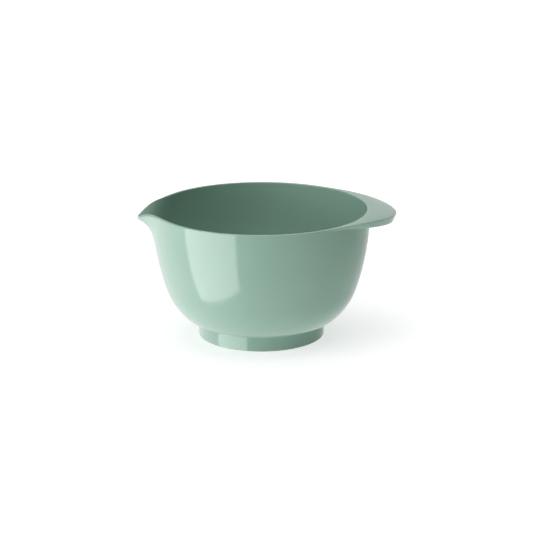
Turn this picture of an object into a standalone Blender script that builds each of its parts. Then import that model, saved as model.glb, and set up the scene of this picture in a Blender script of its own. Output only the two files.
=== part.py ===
"""Mixing bowl: a one-piece melamine bowl with a pouring spout and a grip, and a non-slip ring in its foot.

Metres, +Z up. The origin lies on the surface that the bowl stands on, midway between the tip of the
spout, which points to -X, and the tip of the grip, which points to +X.
"""

import math

import bmesh
import bpy
from mathutils import Vector

MM = 0.001

# Bowl body
RIM_RADIUS = 120.0 * MM  # to the outside of the wall
RIM_HEIGHT = 145.0 * MM
WALL = 3.3 * MM
RIM_LEAN = math.radians(-0.84)  # the side opens out very slightly just below the rim
SIDE_RADIUS = 275.0 * MM  # then it leans in on this radius
SIDE_LEAN = math.radians(18.1)
BELLY_RADIUS = 72.6 * MM
BELLY_LEAN = math.radians(48.8)
KNUCKLE_RADIUS = 13.0 * MM
UNDER_LEAN = math.radians(80.0)  # nearly flat where it runs in to the foot
FLOOR_HEIGHT = 22.0 * MM
FLOOR_LEAN = math.radians(42.0)  # where the inside leaves the belly's curve for the floor's corner
RIM_EDGE = 0.7 * MM

# Foot and the groove in it
FOOT_RADIUS = 70.6 * MM
FOOT_FILLET = 3.6 * MM
FOOT_BOTTOM = 0.8 * MM  # the ring holds the foot this far off the surface
FOOT_EDGE = 0.5 * MM
FOOT_BORE = 63.4 * MM
FOOT_BORE_DRAFT = 0.8 * MM
UNDERSIDE_HEIGHT = FLOOR_HEIGHT - WALL
GROOVE_INNER = 65.2 * MM
GROOVE_OUTER = 68.6 * MM
GROOVE_ROOF = 5.0 * MM

# Spout
SPOUT_APEX = 143.6 * MM  # where its straight flanks would meet
SPOUT_NOSE = 5.6 * MM  # how far the rounded tip falls short of that
SPOUT_FLANK = 0.658  # run along X for each unit across
SPOUT_BLEND = 2.2 * MM
SPOUT_HALF_WIDTH = 60.0 * MM
SPOUT_FADE = 8.2 * MM  # the throw falls to 1/e over this depth
SPOUT_DROOP_START = 117.6 * MM
SPOUT_DROOP = 23.7  # per metre
SPOUT_DEPTH = 60.0 * MM  # below the rim, where its droop has run out and it is at its narrowest
SPOUT_TAPER = 0.65

# Grip: a flange outside the rim, with a skirt turned down along its edge
GRIP_REACH = 149.2 * MM  # from the bowl's axis
GRIP_TIP_RADIUS = 58.4 * MM
GRIP_DROOP = 6.0  # per metre
GRIP_PLATE = 2.9 * MM
SKIRT_HEIGHT = 8.8 * MM
SKIRT_GROWTH = 8.0 * MM
SKIRT_DRAFT = 0.40
SKIRT_THICKNESS = 2.3 * MM
GRIP_START = 3.0 * MM  # reach at which the bead along the rim has become a flange

# Non-slip ring
RING_GAP = 0.3 * MM
RING_EDGE = 0.4 * MM

# Fineness
AZIMUTHS = 80
AZIMUTH_CROWDING = 0.20
RING_STEPS = 80

SPOUT_TIP = SPOUT_APEX - SPOUT_NOSE
AXIS_X = (SPOUT_TIP - GRIP_REACH) / 2
ARCS = (
    (SIDE_RADIUS, SIDE_LEAN),
    (BELLY_RADIUS, BELLY_LEAN),
    (KNUCKLE_RADIUS, UNDER_LEAN),
)


def wall_profile(depth):
    """Radius and height of the outer wall, and its lean, a distance down it from the rim."""
    radius, height, lean, left = RIM_RADIUS, RIM_HEIGHT, RIM_LEAN, depth
    for bend, end_lean in ARCS:
        turn = min(left / bend, end_lean - lean)
        radius -= bend * (math.cos(lean) - math.cos(lean + turn))
        height -= bend * (math.sin(lean + turn) - math.sin(lean))
        lean += turn
        left -= turn * bend
    return radius, height, lean


def depth_at_lean(lean):
    """Distance down the outer wall at which it has turned to this lean."""
    depth, start = 0.0, RIM_LEAN
    for bend, end_lean in ARCS:
        depth += bend * (min(lean, end_lean) - start)
        start = min(lean, end_lean)
    return depth


def spout_throw(across):
    """How far the lip stands out of the rim circle, a distance across from the spout's middle."""
    if abs(across) > SPOUT_HALF_WIDTH:
        return 0.0
    circle = math.sqrt(RIM_RADIUS**2 - across**2)
    over = SPOUT_APEX - math.hypot(SPOUT_NOSE, SPOUT_FLANK * across) - circle
    return max(over, 0.0) + max(SPOUT_BLEND - abs(over), 0.0) ** 2 / (4 * SPOUT_BLEND)


def outer_wall(depth, azimuth):
    """Point on the outer wall, with the spout drawn out of it."""
    radius, height, _ = wall_profile(depth)
    x, y = radius * math.cos(azimuth), radius * math.sin(azimuth)
    lip_y = RIM_RADIUS * math.sin(azimuth)
    if x < 0 and abs(lip_y) < SPOUT_HALF_WIDTH:
        throw = spout_throw(lip_y)
        past_start = math.sqrt(RIM_RADIUS**2 - lip_y**2) + throw - SPOUT_DROOP_START
        lip_droop = SPOUT_DROOP * max(past_start, 0.0) ** 2
        lip_droop += WALL * throw / math.hypot(throw, SPOUT_FADE)  # keeps its inner edge level with the rim
        droop = lip_droop * max(1.0 - depth / SPOUT_DEPTH, 0.0) ** 2
        below_lip = depth - lip_droop + droop
        narrowing = 1.0 - SPOUT_TAPER * min(below_lip / SPOUT_DEPTH, 1.0)
        x -= spout_throw(lip_y / narrowing) * math.exp(-below_lip / SPOUT_FADE)
        height -= droop
    return Vector((x, y, height))


def place(out, depth, azimuth):
    """Point a distance out from the outer wall: inward along its normal, outward on the level."""
    point = outer_wall(depth, azimuth)
    if out > 0:
        return point + out * Vector((math.cos(azimuth), math.sin(azimuth), 0.0))
    step = 0.001
    down = outer_wall(depth + step * MM, azimuth) - outer_wall(depth, azimuth)
    along = outer_wall(depth, azimuth + step) - outer_wall(depth, azimuth - step)
    return point + out * down.cross(along).normalized()


def grip_reach(azimuth):
    """How far the grip's edge stands out of the rim circle: a conic that leaves the rim at a tangent."""
    span = 2 * GRIP_TIP_RADIUS
    squareness = (2 * GRIP_REACH - span) ** 2 / (4 * (GRIP_REACH**2 - RIM_RADIUS**2)) - 1
    tangent_x = GRIP_REACH - (2 * GRIP_REACH - span) / (2 * (1 + squareness))
    cosine = math.cos(azimuth)
    if cosine * RIM_RADIUS <= tangent_x:
        return 0.0
    a = 1 - (1 + squareness) * cosine**2
    b = (span + 2 * squareness * GRIP_REACH) * cosine
    c = -(span + squareness * GRIP_REACH) * GRIP_REACH
    return 2 * -c / (b + math.sqrt(b * b - 4 * a * c)) - RIM_RADIUS


def flange_corners(reach):
    """Corners of the grip's cut below its top edge, as (out, depth): skirt, then underside to the wall."""
    skirt = SKIRT_HEIGHT * (1 - math.exp(-reach / SKIRT_GROWTH))
    edge = GRIP_DROOP * reach**2
    plate = min(GRIP_PLATE, edge + skirt - 0.1 * MM)
    foot_out = reach - SKIRT_DRAFT * skirt
    heel_out = foot_out - SKIRT_THICKNESS
    return [
        (foot_out, edge + skirt),
        (heel_out, edge + skirt),
        (heel_out - 0.1 * MM, plate + GRIP_DROOP * heel_out**2),
        (0.0, plate),
    ]


def rim_corners(reach):
    """Corners of the cut through the rim, and through the grip where there is one, as (out, depth)."""
    top = []
    for share in (0.0, 0.4, 0.7, 1.0):
        out = -WALL + share * (reach + WALL)
        top.append((out, GRIP_DROOP * max(out, 0.0) ** 2))
    plain = [(0.0, depth * MM) for depth in (1.8, 2.6, 3.4, 4.4)]
    flange = flange_corners(max(reach, GRIP_START))
    share = min(reach / GRIP_START, 1.0)
    blended = [tuple(p + share * (f - p) for p, f in zip(*pair)) for pair in zip(plain, flange)]
    return top + blended


def soften(corners, cuts, steps):
    """Replace each corner of an open run by a short curve that starts and ends a cut away from it."""
    run = []
    for i, (corner, cut) in enumerate(zip(corners, cuts)):
        here = Vector(corner)
        if cut == 0 or i in (0, len(corners) - 1):
            run.append(here)
            continue
        before, after = Vector(corners[i - 1]) - here, Vector(corners[i + 1]) - here
        start = here + before.normalized() * cut
        end = here + after.normalized() * cut
        for k in range(steps + 1):
            t = k / steps
            run.append(start * (1 - t) ** 2 + here * 2 * t * (1 - t) + end * t**2)
    return run


def floor_run():
    """Inside of the bowl as (radius, height), from the middle of the floor to the belly."""
    radius, height, lean = wall_profile(depth_at_lean(FLOOR_LEAN))
    radius -= WALL * math.cos(lean)
    height += WALL * math.sin(lean)
    corner = (height - FLOOR_HEIGHT) / (1 - math.sin(lean))
    run = []
    for turn in (90, 75, 60):
        angle = math.radians(turn)
        run.append(
            (
                radius - corner * (math.cos(lean) - math.cos(angle)),
                height - corner * (math.sin(angle) - math.sin(lean)),
            )
        )
    return run


def foot_run():
    """Foot as (radius, height), from under the belly round the groove to the roof of the recess."""
    under_radius, under_height, lean = wall_profile(depth_at_lean(UNDER_LEAN))
    root = under_height - (under_radius - FOOT_RADIUS) / math.tan(lean)
    corners = [
        (under_radius, under_height),
        (FOOT_RADIUS, root),
        (FOOT_RADIUS, FOOT_BOTTOM),
        (GROOVE_OUTER, FOOT_BOTTOM),
        (GROOVE_OUTER, GROOVE_ROOF),
        (GROOVE_INNER, GROOVE_ROOF),
        (GROOVE_INNER, FOOT_BOTTOM),
        (FOOT_BORE, FOOT_BOTTOM),
        (FOOT_BORE - FOOT_BORE_DRAFT, UNDERSIDE_HEIGHT),
        (0.0, UNDERSIDE_HEIGHT),
    ]
    cuts = [0, FOOT_FILLET, FOOT_EDGE, 0, 0, 0, 0, FOOT_EDGE, 2.0 * MM, 0]
    return [tuple(p) for p in soften(corners, cuts, 2)][1:-1]


def section(azimuth):
    """One half-cut through the bowl, from the rim of the floor over the top to the recess's edge."""

    def turned(run):
        return [Vector((r * math.cos(azimuth), r * math.sin(azimuth), z)) for r, z in run]

    inner_leans = [FLOOR_LEAN, math.radians(30), SIDE_LEAN]
    inner = [depth_at_lean(lean) for lean in inner_leans]
    inner += [depth * MM for depth in (64, 48, 35, 25, 17, 10, 4.5)]
    outer = [depth * MM for depth in (7, 12, 18, 26, 36, 49, 66)]
    outer += [depth_at_lean(math.radians(lean)) for lean in (17, 28, 38, 48, 64, 80)]
    rim = rim_corners(grip_reach(azimuth))
    rim_cuts = [RIM_EDGE, 0, 0, RIM_EDGE, 0, 0, 0, 0]
    rim = soften([(-WALL, inner[-1])] + rim + [(0.0, outer[0])], [0] + rim_cuts + [0], 1)[1:-1]
    return (
        turned(floor_run())
        + [place(-WALL, depth, azimuth) for depth in inner]
        + [place(out, depth, azimuth) for out, depth in rim]
        + [place(0.0, depth, azimuth) for depth in outer]
        + turned(foot_run())
    )


def collection_for(name):
    collection = bpy.data.collections.new(name)
    bpy.context.scene.collection.children.link(collection)
    return collection


def material(name, colour, roughness):
    made = bpy.data.materials.new(name)
    made.use_nodes = True
    shader = made.node_tree.nodes["Principled BSDF"]
    shader.inputs["Base Color"].default_value = (*colour, 1.0)
    shader.inputs["Roughness"].default_value = roughness
    shader.inputs["Metallic"].default_value = 0.0
    made.diffuse_color = (*colour, 1.0)
    return made


def add_object(name, mesh, collection, finish):
    made = bpy.data.objects.new(name, mesh)
    made.location = (AXIS_X, 0.0, 0.0)
    mesh.materials.append(finish)
    collection.objects.link(made)
    return made


def bowl_body(collection):
    """Loft the bowl round its axis, from cuts that change towards the spout and towards the grip."""
    columns = []
    for i in range(AZIMUTHS):
        turn = 2 * math.pi * i / AZIMUTHS
        columns.append(section(turn - AZIMUTH_CROWDING * math.sin(2 * turn)))
    shell = bmesh.new()
    rings = [[shell.verts.new(point) for point in ring] for ring in zip(*columns)]
    floor_middle = shell.verts.new((0.0, 0.0, FLOOR_HEIGHT))
    roof_middle = shell.verts.new((0.0, 0.0, UNDERSIDE_HEIGHT))
    for i in range(AZIMUTHS):
        j = (i + 1) % AZIMUTHS
        shell.faces.new((floor_middle, rings[0][i], rings[0][j]))
        shell.faces.new((roof_middle, rings[-1][j], rings[-1][i]))
        for low, high in zip(rings, rings[1:]):
            shell.faces.new((low[j], low[i], high[i], high[j]))
    mesh = bpy.data.meshes.new("bowl_body")
    shell.to_mesh(mesh)
    shell.free()
    mesh.shade_smooth()
    mesh.set_sharp_from_angle(angle=math.radians(35))
    melamine = material("mint_melamine", (0.33, 0.56, 0.45), 0.15)
    return add_object("bowl_body", mesh, collection, melamine)


def non_slip_ring(collection):
    """Turn the ring's cut round the bowl's axis."""
    inner, outer = GROOVE_INNER + RING_GAP, GROOVE_OUTER - RING_GAP
    top = GROOVE_ROOF - RING_GAP
    cut = [
        (outer, top),
        (outer, RING_EDGE),
        (outer - RING_EDGE, 0.0),
        (inner + RING_EDGE, 0.0),
        (inner, RING_EDGE),
        (inner, top),
    ]
    mesh = bpy.data.meshes.new("non_slip_ring")
    edges = [(i, (i + 1) % len(cut)) for i in range(len(cut))]
    mesh.from_pydata([(r, 0.0, z) for r, z in cut], edges, [])
    rubber = material("grey_rubber", (0.42, 0.42, 0.42), 0.6)
    made = add_object("non_slip_ring", mesh, collection, rubber)
    screw = made.modifiers.new("turn", "SCREW")
    screw.axis = "Z"
    screw.angle = 2 * math.pi
    screw.steps = RING_STEPS
    screw.render_steps = RING_STEPS
    screw.use_merge_vertices = True
    screw.merge_threshold = 0.00001
    screw.use_smooth_shade = True
    return made


def build():
    for old in list(bpy.data.objects):
        bpy.data.objects.remove(old, do_unlink=True)
    parts = collection_for("mixing_bowl")
    bowl_body(parts)
    non_slip_ring(parts)


build()
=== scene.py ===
"""Looks of the mixing bowl: its fine surface, its non-slip ring, their materials, and a pale studio.

Metres, +Z up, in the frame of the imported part. The spout points to -X and the grip to +X.
"""

import math

import bpy
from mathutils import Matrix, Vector


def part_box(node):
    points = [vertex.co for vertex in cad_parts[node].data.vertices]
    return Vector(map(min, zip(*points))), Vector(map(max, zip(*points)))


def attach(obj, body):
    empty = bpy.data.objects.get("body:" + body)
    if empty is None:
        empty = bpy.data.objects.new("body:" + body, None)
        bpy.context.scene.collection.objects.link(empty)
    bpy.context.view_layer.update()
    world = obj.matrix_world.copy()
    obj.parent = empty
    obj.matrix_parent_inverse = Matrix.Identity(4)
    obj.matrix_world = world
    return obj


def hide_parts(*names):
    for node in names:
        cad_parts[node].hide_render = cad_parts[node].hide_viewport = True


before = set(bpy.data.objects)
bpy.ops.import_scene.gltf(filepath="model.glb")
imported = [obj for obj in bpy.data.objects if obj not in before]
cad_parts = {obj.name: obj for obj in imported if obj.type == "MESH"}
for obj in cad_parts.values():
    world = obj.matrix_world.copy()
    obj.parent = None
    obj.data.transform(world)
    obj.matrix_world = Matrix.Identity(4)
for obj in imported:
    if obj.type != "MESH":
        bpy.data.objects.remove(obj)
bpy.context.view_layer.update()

MM = 0.001

BOWL_LOW, BOWL_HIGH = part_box("bowl_body")
RING_LOW, RING_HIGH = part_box("non_slip_ring")

# Bowl body, with the lengths that the part's design uses
RIM_RADIUS = 120.0 * MM  # to the outside of the wall
RIM_HEIGHT = BOWL_HIGH.z
WALL = 3.3 * MM
RIM_LEAN = math.radians(-0.84)
SIDE_RADIUS = 275.0 * MM
SIDE_LEAN = math.radians(18.1)
BELLY_RADIUS = 72.6 * MM
BELLY_LEAN = math.radians(48.8)
KNUCKLE_RADIUS = 13.0 * MM
UNDER_LEAN = math.radians(80.0)
FLOOR_HEIGHT = 22.0 * MM
FLOOR_LEAN = math.radians(42.0)
RIM_EDGE = 0.7 * MM

# Foot and the groove in it
FOOT_RADIUS = 70.6 * MM
FOOT_FILLET = 3.6 * MM
FOOT_BOTTOM = BOWL_LOW.z
FOOT_EDGE = 0.5 * MM
FOOT_BORE = 63.4 * MM
FOOT_BORE_DRAFT = 0.8 * MM
UNDERSIDE_HEIGHT = FLOOR_HEIGHT - WALL
RECESS_CORNER = 2.0 * MM
GROOVE_INNER = 65.2 * MM
GROOVE_OUTER = 68.6 * MM
GROOVE_ROOF = 5.0 * MM
GROOVE_EDGE = 0.25 * MM

# Spout
SPOUT_APEX = 143.6 * MM
SPOUT_NOSE = 5.6 * MM
SPOUT_FLANK = 0.658
SPOUT_BLEND = 2.2 * MM
SPOUT_HALF_WIDTH = 60.0 * MM
SPOUT_FADE = 8.2 * MM
SPOUT_DROOP_START = 117.6 * MM
SPOUT_DROOP = 23.7
SPOUT_DEPTH = 60.0 * MM
SPOUT_TAPER = 0.65

# Grip
GRIP_REACH = 149.2 * MM
GRIP_TIP_RADIUS = 58.4 * MM
GRIP_DROOP = 6.0
GRIP_PLATE = 2.9 * MM
SKIRT_HEIGHT = 8.8 * MM
SKIRT_GROWTH = 8.0 * MM
SKIRT_DRAFT = 0.40
SKIRT_THICKNESS = 2.3 * MM
GRIP_START = 3.0 * MM

# Non-slip ring
RING_GAP = 0.3 * MM
RING_EDGE = 0.4 * MM
TREAD_CHANNELS = 2
CHANNEL_WIDTH = 0.18 * MM
CHANNEL_DEPTH = 0.16 * MM

# Fineness
RING_STEPS = 360
AZIMUTHS = 440
AZIMUTH_CROWDING = 0.20
CORNER_STEPS = 5
TOP_POINTS = 9
TOP_INSET = 1.6 * MM  # leaves the rim's edges room to round off
SKIRT_EDGES = [0.5 * MM, 0.5 * MM, 0.6 * MM, 0.8 * MM]

# Melamine
MINT = (0.276, 0.434, 0.354)
MELAMINE_IOR = 1.5
PIGMENT_CLOUDS = 22.0  # this and the other noise scales are per metre
PIGMENT_SHIFT = 0.012
GLOSS_GRAIN = 160.0
GLOSS_ROUGHNESS = 0.115
GLOSS_SHIFT = 0.02
RUB_FOOT = 2.5 * MM
RUB_RIM = 1.2 * MM
RUB_PATCHES = 90.0
RUB_ROUGHNESS = 0.12  # added where the polish is rubbed down
RIPPLE_SCALE = 38.0
RIPPLE_HEIGHT = 0.04 * MM
GRAIN_SCALE = 1400.0
GRAIN_HEIGHT = 0.0012 * MM

# Rubber
RUBBER_GREY = (0.36, 0.36, 0.36)
RUBBER_CLOUDS = 300.0
RUBBER_GLOSS_GRAIN = 900.0
RUBBER_ROUGHNESS = (0.55, 0.75)
RUBBER_GRAIN = 2200.0
RUBBER_GRAIN_HEIGHT = 0.06 * MM

# Studio. Brightness is radiance, where 1.0 shows as white.
FLOOR_HALF = 6.0
BACKDROP_RADIUS = 5.5
BACKDROP_SIDES = 64
BACKDROP_RINGS = 12
FLOOR_WHITE = 0.6
FLOOR_GLOW_NEAR = 0.65
FLOOR_GLOW_FAR = 1.0
FLOOR_GLOW_REACH = (0.2, 2.2)  # from the bowl, where the glow starts and stops growing

PANELS = (
    # name, azimuth, distance, half angle, bottom, top, brightness
    ("key_lower_panel", 55.0, 1.6, 28.9, -1.41, 0.0, 3.75),
    ("key_panel", 55.0, 1.6, 28.9, 0.0, 0.45, 4.5),
    ("key_upper_panel", 55.0, 1.6, 28.9, 0.9, 1.5, 3.3),
    ("back_panel", 180.0, 1.6, 35.0, 0.0, 1.4, 0.80),
)
TOP_PANEL_HEIGHT = 1.58
TOP_PANEL_SIDE = 1.5
TOP_PANEL_BRIGHTNESS = 2.46

SURROUND_LOBES = (
    # direction, whether above the horizon, sharpness, brightness
    ((-1, 0, 0), False, 1.5, 1.95),
    ((0, 1, 0), False, 1.5, 0.80),
    ((0, 0, -1), False, 2.0, 1.04),
    ((0, -1, 0), True, 1.5, 0.10),
)

CAMERA_TARGET = (0.0001, 0.0, 0.0765)
CAMERA_ELEVATION = 16.45
CAMERA_DISTANCE = 1.7715
CAMERA_LENS = 107.23

AXIS_X = (SPOUT_APEX - SPOUT_NOSE - GRIP_REACH) / 2
ARCS = (
    (SIDE_RADIUS, SIDE_LEAN),
    (BELLY_RADIUS, BELLY_LEAN),
    (KNUCKLE_RADIUS, UNDER_LEAN),
)


def spread(start, end, count):
    """This many values from start to end, both included."""
    return [start + (end - start) * i / (count - 1) for i in range(count)]


def wall_profile(depth):
    """Radius and height of the outer wall, and its lean, a distance down it from the rim."""
    radius, height, lean, left = RIM_RADIUS, RIM_HEIGHT, RIM_LEAN, depth
    for bend, end_lean in ARCS:
        turn = min(left / bend, end_lean - lean)
        radius -= bend * (math.cos(lean) - math.cos(lean + turn))
        height -= bend * (math.sin(lean + turn) - math.sin(lean))
        lean += turn
        left -= turn * bend
    return radius, height, lean


def depth_at_lean(lean):
    """Distance down the outer wall at which it has turned to this lean."""
    depth, start = 0.0, RIM_LEAN
    for bend, end_lean in ARCS:
        depth += bend * (min(lean, end_lean) - start)
        start = min(lean, end_lean)
    return depth


def spout_throw(across):
    """How far the lip stands out of the rim circle, a distance across from the spout's middle."""
    if abs(across) > SPOUT_HALF_WIDTH:
        return 0.0
    circle = math.sqrt(RIM_RADIUS**2 - across**2)
    over = SPOUT_APEX - math.hypot(SPOUT_NOSE, SPOUT_FLANK * across) - circle
    return max(over, 0.0) + max(SPOUT_BLEND - abs(over), 0.0) ** 2 / (4 * SPOUT_BLEND)


def outer_wall(depth, azimuth):
    """Point on the outer wall, with the spout drawn out of it."""
    radius, height, _ = wall_profile(depth)
    x, y = radius * math.cos(azimuth), radius * math.sin(azimuth)
    lip_y = RIM_RADIUS * math.sin(azimuth)
    if x < 0 and abs(lip_y) < SPOUT_HALF_WIDTH:
        throw = spout_throw(lip_y)
        past_start = math.sqrt(RIM_RADIUS**2 - lip_y**2) + throw - SPOUT_DROOP_START
        lip_droop = SPOUT_DROOP * max(past_start, 0.0) ** 2
        lip_droop += WALL * throw / math.hypot(throw, SPOUT_FADE)
        droop = lip_droop * max(1.0 - depth / SPOUT_DEPTH, 0.0) ** 2
        below_lip = depth - lip_droop + droop
        narrowing = 1.0 - SPOUT_TAPER * min(below_lip / SPOUT_DEPTH, 1.0)
        x -= spout_throw(lip_y / narrowing) * math.exp(-below_lip / SPOUT_FADE)
        height -= droop
    return Vector((x, y, height))


def place(out, depth, azimuth):
    """Point a distance out from the outer wall: inward along its normal, outward on the level."""
    point = outer_wall(depth, azimuth)
    if out > 0:
        return point + out * Vector((math.cos(azimuth), math.sin(azimuth), 0.0))
    step = 0.001
    down = outer_wall(depth + step * MM, azimuth) - outer_wall(depth, azimuth)
    along = outer_wall(depth, azimuth + step) - outer_wall(depth, azimuth - step)
    return point + out * down.cross(along).normalized()


def grip_reach(azimuth):
    """How far the grip's edge stands out of the rim circle: a conic that leaves the rim at a tangent."""
    span = 2 * GRIP_TIP_RADIUS
    squareness = (2 * GRIP_REACH - span) ** 2 / (4 * (GRIP_REACH**2 - RIM_RADIUS**2)) - 1
    tangent_x = GRIP_REACH - (2 * GRIP_REACH - span) / (2 * (1 + squareness))
    cosine = math.cos(azimuth)
    if cosine * RIM_RADIUS <= tangent_x:
        return 0.0
    a = 1 - (1 + squareness) * cosine**2
    b = (span + 2 * squareness * GRIP_REACH) * cosine
    c = -(span + squareness * GRIP_REACH) * GRIP_REACH
    return 2 * -c / (b + math.sqrt(b * b - 4 * a * c)) - RIM_RADIUS


def flange_corners(reach):
    """Corners of the grip's cut below its top edge, as (out, depth): skirt, then underside to the wall."""
    skirt = SKIRT_HEIGHT * (1 - math.exp(-reach / SKIRT_GROWTH))
    edge = GRIP_DROOP * reach**2
    plate = min(GRIP_PLATE, edge + skirt - 0.1 * MM)
    foot_out = reach - SKIRT_DRAFT * skirt
    heel_out = max(foot_out - SKIRT_THICKNESS, 0.2 * MM)
    return [
        (foot_out, edge + skirt),
        (heel_out, edge + skirt),
        (heel_out - 0.1 * MM, plate + GRIP_DROOP * heel_out**2),
        (0.0, plate),
    ]


def rim_corners(reach):
    """Corners of the cut through the rim, and through the grip where there is one, as (out, depth)."""
    outs = [-WALL] + spread(TOP_INSET - WALL, reach - TOP_INSET, TOP_POINTS) + [reach]
    top = [(out, GRIP_DROOP * max(out, 0.0) ** 2) for out in outs]
    plain = [(0.0, depth * MM) for depth in (1.8, 2.6, 3.4, 4.4)]
    flange = flange_corners(max(reach, GRIP_START))
    share = min(reach / GRIP_START, 1.0)
    blended = [tuple(p + share * (f - p) for p, f in zip(*pair)) for pair in zip(plain, flange)]
    return top + blended


def soften(corners, cuts, steps):
    """Replace each corner of an open run by a short curve that starts and ends a cut away from it."""
    run = []
    for i, (corner, cut) in enumerate(zip(corners, cuts)):
        here = Vector(corner)
        if cut == 0 or i in (0, len(corners) - 1):
            run.append(here)
            continue
        before, after = Vector(corners[i - 1]) - here, Vector(corners[i + 1]) - here
        start = here + before.normalized() * min(cut, 0.48 * before.length)
        end = here + after.normalized() * min(cut, 0.48 * after.length)
        for k in range(steps + 1):
            t = k / steps
            run.append(start * (1 - t) ** 2 + here * 2 * t * (1 - t) + end * t**2)
    return run


def floor_run():
    """Inside of the bowl as (radius, height), from near the middle of the floor to the belly."""
    radius, height, lean = wall_profile(depth_at_lean(FLOOR_LEAN))
    radius -= WALL * math.cos(lean)
    height += WALL * math.sin(lean)
    corner = (height - FLOOR_HEIGHT) / (1 - math.sin(lean))
    run = []
    for angle in spread(math.radians(90), lean, 18)[:-1]:
        across = radius - corner * (math.cos(lean) - math.cos(angle))
        up = height - corner * (math.sin(angle) - math.sin(lean))
        run.append((across, up))
    flat = run[0][0]
    return [(flat * share, FLOOR_HEIGHT) for share in (0.25, 0.5, 0.75, 0.9)] + run


def foot_run():
    """Foot as (radius, height), from under the belly round the groove to the roof of the recess."""
    under_radius, under_height, lean = wall_profile(depth_at_lean(UNDER_LEAN))
    root = under_height - (under_radius - FOOT_RADIUS) / math.tan(lean)
    roof_edge = FOOT_BORE - FOOT_BORE_DRAFT
    corners = [
        (under_radius, under_height),
        (FOOT_RADIUS, root),
        (FOOT_RADIUS, (root + FOOT_BOTTOM) / 2),
        (FOOT_RADIUS, FOOT_BOTTOM),
        (GROOVE_OUTER, FOOT_BOTTOM),
        (GROOVE_OUTER, GROOVE_ROOF),
        (GROOVE_INNER, GROOVE_ROOF),
        (GROOVE_INNER, FOOT_BOTTOM),
        (FOOT_BORE, FOOT_BOTTOM),
        (roof_edge, UNDERSIDE_HEIGHT),
        (roof_edge * 0.9, UNDERSIDE_HEIGHT),
        (roof_edge * 0.6, UNDERSIDE_HEIGHT),
        (roof_edge * 0.3, UNDERSIDE_HEIGHT),
        (0.0, UNDERSIDE_HEIGHT),
    ]
    edge = GROOVE_EDGE
    cuts = [0, FOOT_FILLET, 0, FOOT_EDGE, edge, edge, edge, edge, FOOT_EDGE, RECESS_CORNER, 0, 0, 0, 0]
    return [tuple(p) for p in soften(corners, cuts, CORNER_STEPS)][1:-1]


def section(azimuth):
    """One half-cut through the bowl, from the middle of the floor over the top to the recess's roof."""

    def turned(run):
        return [Vector((r * math.cos(azimuth), r * math.sin(azimuth), z)) for r, z in run]

    inner = spread(depth_at_lean(FLOOR_LEAN), 26 * MM, 26)[:-1] + spread(26 * MM, 4.5 * MM, 20)
    outer = spread(7 * MM, 26 * MM, 18)[:-1] + spread(26 * MM, depth_at_lean(BELLY_LEAN), 30)[:-1]
    outer += spread(depth_at_lean(BELLY_LEAN), depth_at_lean(UNDER_LEAN), 9)
    rim = rim_corners(grip_reach(azimuth))
    rim_cuts = [RIM_EDGE] + [0] * TOP_POINTS + [RIM_EDGE] + SKIRT_EDGES
    rim = soften([(-WALL, inner[-1])] + rim + [(0.0, outer[0])], [0] + rim_cuts + [0], CORNER_STEPS)[1:-1]
    return (
        turned(floor_run())
        + [place(-WALL, depth, azimuth) for depth in inner]
        + [place(out, depth, azimuth) for out, depth in rim]
        + [place(0.0, depth, azimuth) for depth in outer]
        + turned(foot_run())
    )


def smooth_object(name, points, faces):
    """Smooth-shaded mesh object about the bowl's axis."""
    mesh = bpy.data.meshes.new(name)
    mesh.from_pydata(points, [], faces)
    mesh.shade_smooth()
    made = bpy.data.objects.new(name, mesh)
    made.location = (AXIS_X, 0.0, 0.0)
    bpy.context.scene.collection.objects.link(made)
    return made


def closed_loft(name, columns, first, last):
    """Mesh object through the columns of points, closed round them and by a fan at each end."""
    count, length = len(columns), len(columns[0])
    points = [point for column in columns for point in column] + [first, last]
    first_index, last_index = count * length, count * length + 1
    faces = []
    for i in range(count):
        here, beyond = i * length, (i + 1) % count * length
        faces.append((first_index, here, beyond))
        faces.append((last_index, beyond + length - 1, here + length - 1))
        for k in range(length - 1):
            faces.append((beyond + k, here + k, here + k + 1, beyond + k + 1))
    return smooth_object(name, points, faces)


def fine_bowl():
    """The moulding's whole surface: inside, rim, spout, grip, outside, foot, groove and recess."""
    columns = []
    for i in range(AZIMUTHS):
        turn = 2 * math.pi * i / AZIMUTHS
        columns.append(section(turn - AZIMUTH_CROWDING * math.sin(2 * turn)))
    return closed_loft(
        "moulded_bowl", columns, Vector((0.0, 0.0, FLOOR_HEIGHT)), Vector((0.0, 0.0, UNDERSIDE_HEIGHT))
    )


def fine_ring():
    """The rubber ring's whole surface: round edges, and two shallow channels in its tread."""
    inner, outer = GROOVE_INNER + RING_GAP, GROOVE_OUTER - RING_GAP
    top, tread = RING_HIGH.z, RING_LOW.z
    corners = [(inner, (top + tread) / 2), (inner, tread)]
    for i in range(TREAD_CHANNELS):
        middle = inner + (outer - inner) * (i + 1) / (TREAD_CHANNELS + 1)
        corners += [
            (middle - CHANNEL_WIDTH, tread),
            (middle, tread + CHANNEL_DEPTH),
            (middle + CHANNEL_WIDTH, tread),
        ]
    corners += [(outer, tread), (outer, top), (inner, top), corners[0]]
    channel_cuts = [CHANNEL_DEPTH / 2] * (3 * TREAD_CHANNELS)
    cuts = [0, RING_EDGE] + channel_cuts + [RING_EDGE, RING_EDGE, RING_EDGE, 0]
    cut = [tuple(p) for p in soften(corners, cuts, 3)][:-1]
    points, faces = [], []
    for i in range(RING_STEPS):
        turn = 2 * math.pi * i / RING_STEPS
        points += [(r * math.cos(turn), r * math.sin(turn), z) for r, z in cut]
        here, beyond = i * len(cut), (i + 1) % RING_STEPS * len(cut)
        for k in range(len(cut)):
            after = (k + 1) % len(cut)
            faces.append((here + k, beyond + k, beyond + after, here + after))
    return smooth_object("rubber_ring", points, faces)


# Materials


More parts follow.
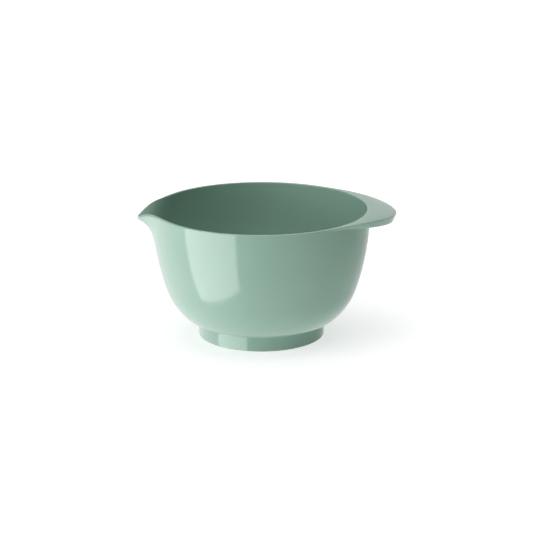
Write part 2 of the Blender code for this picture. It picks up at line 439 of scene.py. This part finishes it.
def node(tree, kind, **inputs):
    """New shader node, with the values of its input sockets by name."""
    made = tree.nodes.new(kind)
    for name, value in inputs.items():
        made.inputs[name.replace("_", " ")].default_value = value
    return made


def noise(tree, place_socket, scale, detail):
    """Noise factor at true scale."""
    made = node(tree, "ShaderNodeTexNoise", Scale=scale, Detail=detail, Roughness=0.55)
    tree.links.new(place_socket, made.inputs["Vector"])
    return made.outputs["Fac"]


def mapped(tree, factor, low, high, start=0.3, end=0.7):
    """Factor from start to end, mapped to values from low to high."""
    made = tree.nodes.new("ShaderNodeMapRange")
    for socket, value in zip(list(made.inputs)[1:5], (start, end, low, high)):
        socket.default_value = value
    tree.links.new(factor, made.inputs[0])
    return made.outputs[0]


def blended(tree, factor, first, second):
    """Colour between two colours, by factor."""
    made = tree.nodes.new("ShaderNodeMix")
    made.data_type = "RGBA"
    made.inputs["A"].default_value = (*first, 1.0)
    made.inputs["B"].default_value = (*second, 1.0)
    tree.links.new(factor, made.inputs["Factor"])
    return made.outputs["Result"]


def new_material(name):
    """New node material, with its node tree and its shader."""
    made = bpy.data.materials.new(name)
    made.use_nodes = True
    tree = made.node_tree
    return made, tree, tree.nodes["Principled BSDF"]


def scaled(colour, share):
    """Colour made darker or lighter by a share."""
    return tuple(channel * share for channel in colour)


def rubbed(tree, at):
    """How far the polish is rubbed down, from 0 to 1: in patches, round the foot's edge and the rim."""
    height = tree.nodes.new("ShaderNodeSeparateXYZ")
    tree.links.new(at, height.inputs[0])
    foot = mapped(tree, height.outputs["Z"], 1.0, 0.0, FOOT_BOTTOM, FOOT_BOTTOM + RUB_FOOT)
    rim = mapped(tree, height.outputs["Z"], 0.0, 1.0, RIM_HEIGHT - RUB_RIM, RIM_HEIGHT)
    patches = mapped(tree, noise(tree, at, RUB_PATCHES, 3.0), 0.3, 1.0, 0.35, 0.65)
    return maths(tree, "MULTIPLY", maths(tree, "ADD", foot, rim), patches)


def melamine():
    """Glossy moulded melamine: near-even pigment and a polished skin with a faint ripple."""
    made, tree, shader = new_material("mint_melamine")
    at = tree.nodes.new("ShaderNodeTexCoord").outputs["Object"]
    cloud = mapped(tree, noise(tree, at, PIGMENT_CLOUDS, 3.0), 0.0, 1.0)
    colour = blended(tree, cloud, scaled(MINT, 1.0 - PIGMENT_SHIFT), scaled(MINT, 1.0 + PIGMENT_SHIFT))
    tree.links.new(colour, shader.inputs["Base Color"])
    smooth, dull = GLOSS_ROUGHNESS - GLOSS_SHIFT, GLOSS_ROUGHNESS + GLOSS_SHIFT
    gloss = mapped(tree, noise(tree, at, GLOSS_GRAIN, 4.0), smooth, dull)
    wear = maths(tree, "MULTIPLY", rubbed(tree, at), RUB_ROUGHNESS)
    tree.links.new(maths(tree, "ADD", gloss, wear), shader.inputs["Roughness"])
    ripple = node(tree, "ShaderNodeBump", Strength=1.0, Distance=RIPPLE_HEIGHT)
    tree.links.new(noise(tree, at, RIPPLE_SCALE, 1.0), ripple.inputs["Height"])
    grain = node(tree, "ShaderNodeBump", Strength=1.0, Distance=GRAIN_HEIGHT)
    tree.links.new(noise(tree, at, GRAIN_SCALE, 2.0), grain.inputs["Height"])
    tree.links.new(ripple.outputs["Normal"], grain.inputs["Normal"])
    tree.links.new(grain.outputs["Normal"], shader.inputs["Normal"])
    shader.inputs["IOR"].default_value = MELAMINE_IOR
    return made


def rubber():
    """Matt rubber with a fine moulded grain."""
    made, tree, shader = new_material("grey_rubber")
    at = tree.nodes.new("ShaderNodeTexCoord").outputs["Object"]
    cloud = noise(tree, at, RUBBER_CLOUDS, 3.0)
    colour = blended(tree, cloud, scaled(RUBBER_GREY, 0.9), scaled(RUBBER_GREY, 1.1))
    tree.links.new(colour, shader.inputs["Base Color"])
    gloss = mapped(tree, noise(tree, at, RUBBER_GLOSS_GRAIN, 2.0), *RUBBER_ROUGHNESS)
    tree.links.new(gloss, shader.inputs["Roughness"])
    grain = node(tree, "ShaderNodeBump", Strength=0.6, Distance=RUBBER_GRAIN_HEIGHT)
    tree.links.new(noise(tree, at, RUBBER_GRAIN, 2.0), grain.inputs["Height"])
    tree.links.new(grain.outputs["Normal"], shader.inputs["Normal"])
    return made


def dress(piece, finish, body, cad_node):
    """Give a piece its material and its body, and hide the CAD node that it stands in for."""
    piece.data.materials.append(finish)
    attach(piece, body)
    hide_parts(cad_node)


# Studio


def floor():
    """Plain pale floor, which glows a little more far from the bowl, and which glossy rays pass by."""
    half = FLOOR_HALF
    corners = [(-half, -half, 0.0), (half, -half, 0.0), (half, half, 0.0), (-half, half, 0.0)]
    mesh = bpy.data.meshes.new("studio_floor")
    mesh.from_pydata(corners, [], [(0, 1, 2, 3)])
    made = bpy.data.objects.new("studio_floor", mesh)
    finish, tree, shader = new_material("studio_white")
    shader.inputs["Base Color"].default_value = (FLOOR_WHITE, FLOOR_WHITE, FLOOR_WHITE, 1.0)
    shader.inputs["Roughness"].default_value = 1.0
    shader.inputs["Specular IOR Level"].default_value = 0.0
    shader.inputs["Emission Color"].default_value = (1.0, 1.0, 1.0, 1.0)
    away = tree.nodes.new("ShaderNodeVectorMath")
    away.operation = "LENGTH"
    tree.links.new(tree.nodes.new("ShaderNodeTexCoord").outputs["Object"], away.inputs[0])
    glow = mapped(tree, away.outputs["Value"], FLOOR_GLOW_NEAR, FLOOR_GLOW_FAR, *FLOOR_GLOW_REACH)
    glow.node.interpolation_type = "SMOOTHSTEP"
    tree.links.new(glow, shader.inputs["Emission Strength"])
    mesh.materials.append(finish)
    bpy.context.scene.collection.objects.link(made)
    made.visible_glossy = False


def backdrop():
    """White dome round the studio that only the camera sees, so it lights nothing."""
    rings = []
    for lift in spread(-2.0, 90.0, BACKDROP_RINGS):
        level = math.radians(lift)
        ring = []
        for turn in spread(0.0, 2 * math.pi, BACKDROP_SIDES)[:-1]:
            out = BACKDROP_RADIUS * math.cos(level)
            ring.append((out * math.cos(turn), out * math.sin(turn), BACKDROP_RADIUS * math.sin(level)))
        rings.append(ring)
    sides = len(rings[0])
    faces = []
    for level in range(len(rings) - 1):
        for side in range(sides):
            low, after = level * sides + side, level * sides + (side + 1) % sides
            faces.append((low, after, after + sides, low + sides))
    mesh = bpy.data.meshes.new("studio_backdrop")
    mesh.from_pydata([point for ring in rings for point in ring], [], faces)
    made = bpy.data.objects.new("studio_backdrop", mesh)
    finish, tree, shader = new_material("backdrop_white")
    shader.inputs["Base Color"].default_value = (0.0, 0.0, 0.0, 1.0)
    shader.inputs["Specular IOR Level"].default_value = 0.0
    shader.inputs["Emission Color"].default_value = (1.0, 1.0, 1.0, 1.0)
    shader.inputs["Emission Strength"].default_value = 1.0
    mesh.materials.append(finish)
    bpy.context.scene.collection.objects.link(made)
    made.visible_diffuse = False
    made.visible_glossy = False
    made.visible_transmission = False
    made.visible_shadow = False


def panel(name, place_at, facing, width, height, brightness):
    """Rectangular light of even brightness, which the camera doesn't see."""
    data = bpy.data.lights.new(name, "AREA")
    data.shape = "RECTANGLE"
    data.size, data.size_y = width, height
    data.energy = brightness * math.pi * width * height
    made = bpy.data.objects.new(name, data)
    made.location = place_at
    made.rotation_euler = (-facing).to_track_quat("Z", "Y").to_euler()
    made.visible_camera = False
    bpy.context.scene.collection.objects.link(made)


def upright_panel(name, azimuth, distance, half_angle, bottom, top, brightness):
    """Upright light square to the bowl. Azimuth 0 is behind the camera, and 90 is to its left."""
    turn = math.radians(azimuth)
    way = Vector((-math.sin(turn), -math.cos(turn), 0.0))
    width = 2 * distance * math.tan(math.radians(half_angle))
    middle = way * distance + Vector((0.0, 0.0, (bottom + top) / 2))
    panel(name, middle, -way, width, top - bottom, brightness)


def maths(tree, operation, first, second):
    """Result of a maths node, whose inputs are sockets or numbers."""
    made = tree.nodes.new("ShaderNodeMath")
    made.operation = operation
    for socket, value in zip(made.inputs, (first, second)):
        if isinstance(value, (int, float)):
            socket.default_value = value
        else:
            tree.links.new(value, socket)
    return made.outputs[0]


def surround():
    """Soft white surroundings: a lobe of light round each of a few directions."""
    made = bpy.data.worlds.new("studio_surround")
    made.use_nodes = True
    tree = made.node_tree
    coordinates = tree.nodes.new("ShaderNodeTexCoord").outputs["Generated"]
    height = tree.nodes.new("ShaderNodeSeparateXYZ")
    tree.links.new(coordinates, height.inputs[0])
    total = 0.0
    for direction, above, sharpness, brightness in SURROUND_LOBES:
        towards = tree.nodes.new("ShaderNodeVectorMath")
        towards.operation = "DOT_PRODUCT"
        tree.links.new(coordinates, towards.inputs[0])
        towards.inputs[1].default_value = direction
        lobe = maths(tree, "POWER", maths(tree, "MAXIMUM", towards.outputs["Value"], 0.0), sharpness)
        side = maths(tree, "GREATER_THAN" if above else "LESS_THAN", height.outputs["Z"], 0.0)
        half_lobe = maths(tree, "MULTIPLY", lobe, side)
        total = maths(tree, "ADD", total, maths(tree, "MULTIPLY", half_lobe, brightness))
    background = tree.nodes["Background"]
    background.inputs["Color"].default_value = (1.0, 1.0, 1.0, 1.0)
    tree.links.new(total, background.inputs["Strength"])
    bpy.context.scene.world = made


def camera():
    """Camera at the photograph's viewing angle: straight at the side, with the spout to the left."""
    data = bpy.data.cameras.new("camera")
    data.sensor_width = 36.0
    data.lens = CAMERA_LENS
    data.clip_end = 100.0
    made = bpy.data.objects.new("camera", data)
    lift = math.radians(CAMERA_ELEVATION)
    way = Vector((0.0, -math.cos(lift), math.sin(lift)))
    made.location = Vector(CAMERA_TARGET) + CAMERA_DISTANCE * way
    made.rotation_euler = (math.pi / 2 - lift, 0.0, 0.0)
    bpy.context.scene.collection.objects.link(made)
    bpy.context.scene.camera = made


melamine_finish = melamine()
dress(fine_bowl(), melamine_finish, "bowl", "bowl_body")
dress(fine_ring(), rubber(), "ring", "non_slip_ring")
floor()
backdrop()
surround()
for values in PANELS:
    upright_panel(*values)
panel(
    "top_panel",
    Vector((0.0, 0.0, TOP_PANEL_HEIGHT)),
    Vector((0.0, 0.0, -1.0)),
    TOP_PANEL_SIDE,
    TOP_PANEL_SIDE,
    TOP_PANEL_BRIGHTNESS,
)
camera()
bpy.context.scene.view_settings.view_transform = "Standard"
